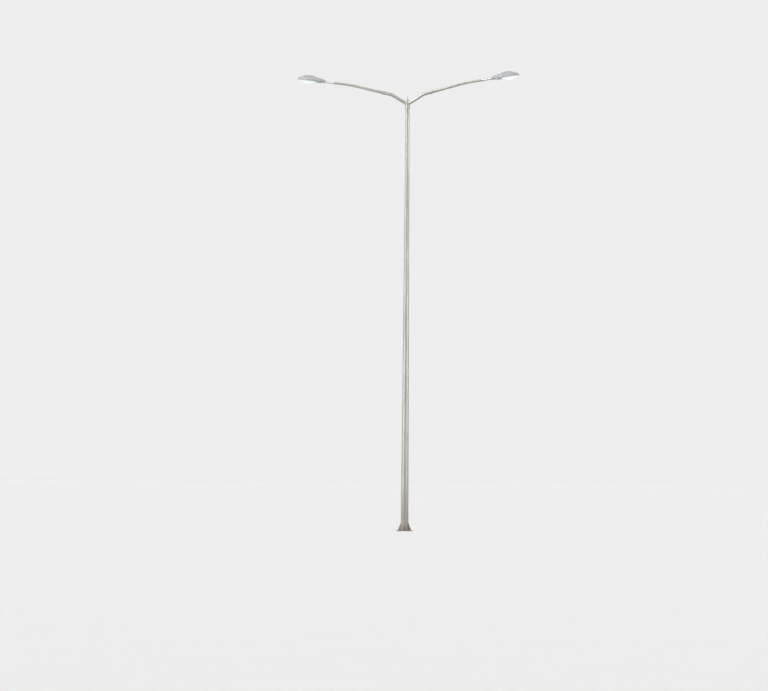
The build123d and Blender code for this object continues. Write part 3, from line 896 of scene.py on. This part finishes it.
def ring_bead(radius, height, thickness):
    """A bead round the column's axis, in the corner over a level face."""
    ways = [level_way(turn) for turn in full_turn(int(2 * pi * radius / bead_step))]
    points = [way * radius + upward * height for way in ways]
    return bead(points, [way + upward for way in ways], thickness, round_trip=True)

def line_bead(start, end, out, thickness):
    """A straight bead."""
    start, end = Vector(start), Vector(end)
    count = max(2, int((end - start).length / bead_step))
    points = [start.lerp(end, n / count) for n in range(count + 1)]
    return bead(points, [Vector(out)] * len(points), thickness)

# %% [markdown]
# ## Welds at the foot
# The shaft is welded all round to its plate, and each gusset along both edges on both sides. These
# are the heaviest welds on the column, because all of the wind's pull ends here. One gusset's
# welds are made and then turned to the other three quarters.

# %% Foot welds
gusset_reach = 0.078
gusset_height = 0.2
gusset_half = 0.005
foot_bead, plate_bead, gusset_bead = 0.0065, 0.0045, 0.0042
foot_radius = shaft_radius(plate_top)
head_radius = shaft_radius(plate_top + gusset_height)
piece("weld_foot", ring_bead(foot_radius, plate_top, foot_bead), "pole_coat")
gusset_welds = Shape()
for quarter in range(4):
    spin = Matrix.Rotation(quarter * pi / 2, 4, "Z")
    for side in (1, -1):
        y = side * gusset_half
        corner = (foot_radius, y, plate_top)
        toe = (foot_radius + gusset_reach, y, plate_top)
        head = (head_radius, y, plate_top + gusset_height)
        along_plate = line_bead(corner, toe, (0, side, 1), plate_bead)
        up_shaft = line_bead(corner, head, (0.7, side, 0), gusset_bead)
        gusset_welds += (along_plate + up_shaft).at(spin)
piece("weld_gussets", gusset_welds, "pole_coat")

# %% [markdown]
# ## Weld round the door frame
# The frame is a flat bar bent to the opening and welded to the cut edge of the shaft. The path is
# the frame's outline wrapped on the cone: for each point across and up, the cone gives how far out
# it is.

# %% Door weld
door_bead = 0.0032

def rounded_outline(half_width, half_height, corner, step):
    """Points round a rounded rectangle: at each corner an arc, then the flat that it runs into."""
    flats = (half_width - corner, half_height - corner)
    arc_count = int(corner * pi / 2 / step)
    points = []
    for quarter, (sx, sz) in enumerate(square):
        x, z = sx * flats[0], sz * flats[1]
        for n in range(arc_count):
            turn = pi / 2 * (quarter + n / arc_count)
            points.append((x + corner * cos(turn), z + corner * sin(turn)))
        along_x, along_z = cos(pi / 2 * (quarter + 1)), sin(pi / 2 * (quarter + 1))
        x, z = x + corner * along_x, z + corner * along_z
        flat = 2 * flats[quarter % 2]
        flat_count = int(flat / step)
        for n in range(flat_count):
            gone = flat * n / flat_count
            points.append((x - along_z * gone, z + along_x * gone))
    return points

door_points, door_out = [], []
for x, z in rounded_outline(frame_half_width, frame_half_height, frame_corner, bead_step):
    height = door_middle + z
    y = -sqrt(shaft_radius(height) ** 2 - x**2)
    door_points.append(Vector((x, y, height)))
    outline_way = Vector((x, 0, z)).normalized()
    door_out.append(Vector((x * 1.5, y, 0)).normalized() + outline_way * 0.6)
piece("weld_door", bead(door_points, door_out, door_bead, round_trip=True), "pole_coat")

# %% [markdown]
# ## Seam of the shaft
# A tapered shaft is one plate pressed round and welded along its length. The seam is a faint line
# a few millimetres wide, at the back, away from the door: a thin bead, sunk a little.

# %% Shaft seam
seam_turn = radians(118)
seam_steps = 1600
seam_bead = 0.0022
seam_sunk = 0.0006
seam_way = level_way(seam_turn)
seam_length = shaft_top - collar_height - plate_top
seam_heights = [plate_top + seam_length * n / seam_steps for n in range(seam_steps + 1)]
seam_points = [seam_way * (shaft_radius(z) - seam_sunk) + upward * z for z in seam_heights]
piece("shaft_seam", bead(seam_points, [seam_way] * len(seam_points), seam_bead), "pole_coat")

# %% [markdown]
# ## Welds at the top
# Each arm root meets the round hub at a slant, so its weld is a saddle. A point of the tube's skin
# is known from its angle round the tube, and where the line through it meets the drum follows from
# the drum's radius. The hub is also welded to the collar, and the finial's flange to the hub.

# %% Top welds
arm_bead, hub_bead, finial_bead = 0.004, 0.003, 0.0014
saddle_steps = 260

def saddle(tube_radius):
    """Where the arm root's skin meets the hub, on the right."""
    way = along(rise)
    high = Vector((-sin(rise), 0, cos(rise)))
    points, outs = [], []
    for turn in full_turn(saddle_steps):
        spoke = cos(turn) * high + sin(turn) * Vector((0, 1, 0))
        skin = root_start + tube_radius * spoke
        point = skin + way * ((sqrt(hub_radius**2 - skin.y**2) - skin.x) / way.x)
        points.append(point)
        outs.append(Vector((point.x, point.y, 0)).normalized() + spoke)
    return points, outs

saddle_points, saddle_outs = saddle(root_radius)
both_sides("weld_arm", bead(saddle_points, saddle_outs, arm_bead, round_trip=True), "pole_coat")
flange_weld = ring_bead(hub_flange_radius, shaft_top, hub_bead)
drum_weld = ring_bead(hub_radius, shaft_top + hub_flange, hub_bead)
finial_weld = ring_bead(finial_foot_radius, hub_top, finial_bead)
piece("weld_hub", flange_weld + drum_weld + finial_weld, "pole_coat")

# %% [markdown]
# ## Screws
# Two heads are used: a round head with a six-sided recess for what should not be undone by hand,
# and a six-sided head on a washer for what carries load. Each is a stack of rings, from its foot
# to its top; where a ring is six-sided, its corners are pushed out to the flats.

# %% Screw heads
head_sunk = 0.001

def recessed_head(radius, height):
    """A round chamfered head with a six-sided recess."""
    chamfer = height * 0.25
    key = radius * 0.48
    rows = [
        ring(radius, -head_sunk),
        ring(radius, height - chamfer),
        ring(radius - chamfer, height),
        ring(key * 1.12, height),
        ring(key, height - 0.0004, sides=6),
        ring(key, height * 0.3, sides=6),
    ]
    return closed_form(rows)

def bolt_head(flats, height, washer_radius, washer_height):
    """A six-sided head, rounded off at its corners, on a washer."""
    half = flats / 2
    rows = [
        ring(washer_radius, -head_sunk),
        ring(washer_radius, washer_height * 0.7),
        ring(washer_radius - washer_height * 0.3, washer_height),
        ring(half * 0.98, washer_height, sides=6),
        ring(half, washer_height + 0.0003, sides=6),
        ring(half, washer_height + height * 0.8, sides=6),
        ring(half * 0.94, washer_height + height),
    ]
    return closed_form(rows)

def screws(head, spots):
    """The head at each (point, up) spot."""
    return joined(head.at(stand(point, up)) for point, up in spots)

# %% [markdown]
# ## Screws of the collar and door
# The collar is pulled up against the shaft by three recessed screws; the one at the front is the
# dark dot that shows from afar. The door's cover is held by two. One head serves all its spots.

# %% Collar and door screws
collar_screw = recessed_head(radius=0.0095, height=0.006)
collar_level = shaft_top - 0.5 * collar_height
collar_spots = []
for turn in (270, 30, 150):
    way = level_way(radians(turn))
    collar_spots.append((way * collar_radius + upward * collar_level, way))
piece("collar_screws", screws(collar_screw, collar_spots), "latch_steel")
door_screw = recessed_head(radius=0.0075, height=0.004)
door_screw_half = 0.164
cover_proud = 0.006
door_spots = []
for z in (door_middle - door_screw_half, door_middle + door_screw_half):
    door_spots.append((Vector((0, -shaft_radius(z) - cover_proud, z)), Vector((0, -1, 0))))
piece("door_screws", screws(door_screw, door_spots), "latch_steel")

# %% [markdown]
# ## Screws of the arm
# The joint and the sleeve grip their tubes with set screws, three round each socket. They are
# placed in the frame of the arm, whose X runs along the tube.

# %% Joint and sleeve screws
def radial_spots(radius, reach, first_turn):
    """Three spots round a tube, this far along it."""
    spots = []
    for turn in (first_turn, first_turn + 120, first_turn + 240):
        way = Vector((0, cos(radians(turn)), sin(radians(turn))))
        spots.append((Vector((reach, 0, 0)) + way * radius, way))
    return spots

joint_bolt = bolt_head(flats=0.013, height=0.0055, washer_radius=0.0085, washer_height=0.0014)
joint_spots = radial_spots(radius=0.0513, reach=-0.021, first_turn=60)
joint_spots += radial_spots(radius=0.0473, reach=0.024, first_turn=0)
both_sides("joint_screws", screws(joint_bolt, joint_spots).at(arm_frame), "latch_steel")
sleeve_bolt = bolt_head(flats=0.01, height=0.0042, washer_radius=0.0066, washer_height=0.0012)
sleeve_spots = radial_spots(radius=0.0388, reach=-0.015, first_turn=60)
sleeve_spots += radial_spots(radius=0.0363, reach=0.017, first_turn=0)
both_sides("sleeve_screws", screws(sleeve_bolt, sleeve_spots).at(neck_frame), "latch_steel")

# %% [markdown]
# ## Screws of the lamp
# Four bolts draw the clamp's ears up, four recessed screws hold the gear cover, and small ones
# hold the lens panel. All look down, so they show from below.

# %% Lamp screws
clamp_level, cover_level, panel_level = -0.012, -0.051, -0.002
clamp_bolt = bolt_head(flats=0.012, height=0.0053, washer_radius=0.0066, washer_height=0.0014)
cover_screw = recessed_head(radius=0.0048, height=0.003)
panel_screw = recessed_head(radius=0.0034, height=0.002)
clamp_places = [(x, y) for x in (0.036, 0.09) for y in (-0.0452, 0.0452)]
cover_places = [(x, side * y) for side in (1, -1) for x, y in ((0.138, 0.078), (0.236, 0.108))]
panel_places = [(bowl_middle + x, y) for x in (-0.155, 0.0, 0.155) for y in (-0.084, 0.084)]

def looking_down(places, level):
    """Spots at (x, y) places of the lamp's frame."""
    return [(Vector((x, y, level)), Vector((0, 0, -1))) for x, y in places]

for name, head, places, level in (
    ("clamp_bolts", clamp_bolt, clamp_places, clamp_level),
    ("cover_screws", cover_screw, cover_places, cover_level),
    ("panel_screws", panel_screw, panel_places, panel_level),
):
    both_sides(name, screws(head, looking_down(places, level)).at(lamp_frame), "latch_steel")

# %% [markdown]
# ## Hinges of the bowl frame
# The frame swings down from the gear cover's end for cleaning. Each of its two hinges is three
# knuckles on a pin, with one leaf on the frame's underside and one on the cover's end wall. A
# knuckle is a stack of rings as a screw is, laid on its side.

# %% A plate for the leaves
def slab(x_span, y_middle, y_half, z_span, corner=0.0008):
    """A thin plate with its upright edges and its lower face chamfered."""
    (x_low, x_high), (z_low, z_high) = x_span, z_span
    y_low, y_high = y_middle - y_half, y_middle + y_half
    outline = [
        (x_high, y_low + corner), (x_high, y_high - corner),
        (x_high - corner, y_high), (x_low + corner, y_high),
        (x_low, y_high - corner), (x_low, y_low + corner),
        (x_low + corner, y_low), (x_high - corner, y_low),
    ]
    middle = Vector(((x_low + x_high) / 2, (y_low + y_high) / 2, 0))
    rows = []
    for level, share in ((z_low, 0.96), (z_low + corner, 1.0), (z_high, 1.0)):
        lifted = middle + upward * level
        rows.append([lifted + (Vector((x, y, 0)) - middle) * share for x, y in outline])
    return closed_form(rows)

# %% Hinges
hinge_reach = 0.2612
hinge_level = -0.0329
hinge_half_spacing = 0.082
knuckle_radius = 0.0055
knuckle_chamfer = 0.0007
end_share = 0.86
pin_radius = 0.00275
barrels = (
    (-0.021, -0.0075, knuckle_radius),
    (-0.0068, 0.0068, knuckle_radius),
    (0.0075, 0.021, knuckle_radius),
    (-0.0235, 0.0235, pin_radius),
)
leaf_half, leaf_length = 0.021, 0.026
leaf_span = (-0.0292, -0.0268)
tongue_half = 0.0065
tongue_span = (-0.0475, -0.027)
web_span = (-0.0345, -0.0315)
cover_wall, tongue_face = 0.2512, 0.2536
screw_reach, screw_half = 0.018, 0.013
hinge_screw = recessed_head(radius=0.0034, height=0.0018)

def hinge(y_middle):
    """One hinge in the lamp's frame."""
    shape = Shape()
    for start, end, radius in barrels:
        rows = [ring(radius * end_share, start), ring(radius, start + knuckle_chamfer)]
        rows += [ring(radius, end - knuckle_chamfer), ring(radius * end_share, end)]
        barrel = closed_form(rows).at(stand((0, 0, 0), (0, 1, 0), (1, 0, 0)))
        shape += barrel.at(Matrix.Translation((hinge_reach, y_middle, hinge_level)))
    shape += slab((hinge_reach, hinge_reach + leaf_length), y_middle, leaf_half, leaf_span)
    shape += slab((cover_wall, tongue_face), y_middle, tongue_half, tongue_span)
    shape += slab((cover_wall, hinge_reach), y_middle, tongue_half, web_span)
    places = [(hinge_reach + screw_reach, y_middle + y) for y in (-screw_half, screw_half)]
    return shape + screws(hinge_screw, looking_down(places, leaf_span[0]))

hinges = hinge(-hinge_half_spacing) + hinge(hinge_half_spacing)
both_sides("hinges", hinges.at(lamp_frame), "latch_steel")

# %% [markdown]
# ## Stage
# A pale floor and an even pale room show the shape without hiding anything. One soft sun and the
# room light the column at a plain level, and floor and room look paler than they light, so that
# the grey column stands out. A glossy tube shows what stands beside it, so the room has a brighter
# upright panel to the left and to the right, which only reflections see: they draw the two bright
# lines down the column.

# %% Floor
floor_half = 1500.0
floor_level = -0.001
floor_glow = 0.17

def looked_at(bench):
    """1 for a ray that looks, straight, in a gloss or through glass; 0 for one that only lights."""
    rays = ("Is Camera Ray", "Is Glossy Ray", "Is Transmission Ray")
    straight, in_gloss, through = (bench.node("ShaderNodeLightPath", out=ray) for ray in rays)
    return straight.at_least(in_gloss).at_least(through)

floor_mesh = bpy.data.meshes.new("floor")
floor_corners = [(sx * floor_half, sy * floor_half, floor_level) for sx, sy in square]
floor_mesh.from_pydata(floor_corners, [], [(0, 1, 2, 3)])
floor = add_object("floor", floor_mesh)
bench = Finish("floor", Roughness=0.9, Specular_IOR_Level=0.1, Emission_Strength=1.0)
mottle = noise(bench, 0.8, 3.0)
glow = looked_at(bench) * floor_glow
floor_finish = bench.surface(
    Base_Color=blend(mottle, (0.78, 0.78, 0.775), (0.8, 0.8, 0.795)),
    Emission_Color=blend(glow, black, (1.0, 1.0, 0.995)),
)
floor_mesh.materials.append(floor_finish)

# %% Room
light_level = 0.56
seen_level = 0.85
panel_glow = 9.0
room = bpy.data.worlds.new("room")
room.use_nodes = True
scene.world = room
air = Bench(room.node_tree)
glossy_ray = air.node("ShaderNodeLightPath", out="Is Glossy Ray")
ray_way = air.node("ShaderNodeTexCoord", out="Generated")
frontward = dot(ray_way, (sin(azimuth), -cos(azimuth), 0.0))
sideward = dot(ray_way, (cos(azimuth), sin(azimuth), 0.0))
beside = ramp(sideward.size(), 0.45, 0.7) * 0.85 + 0.15
panel = ramp((frontward - 0.5).size(), 0.2, 0.1) * beside
paler = looked_at(air) * (seen_level - light_level)
background = room.node_tree.nodes["Background"]
air.feed(background.inputs["Color"], (1.0, 1.0, 1.0))
air.feed(background.inputs["Strength"], light_level + paler + glossy_ray * panel * panel_glow)
print("room: lit at", light_level, "seen at", seen_level, "with panels at", panel_glow)

# %% Sun
sun_level = 1.25
sun_size = radians(9)
sun_slope, sun_turn = radians(50), radians(-38)
sun = add_object("sun", bpy.data.lights.new("sun", "SUN"))
sun.data.energy = sun_level
sun.data.angle = sun_size
sun.rotation_euler = (sun_slope, 0, sun_turn)
scene.view_settings.view_transform = "Standard"
print("sun at", sun_level)
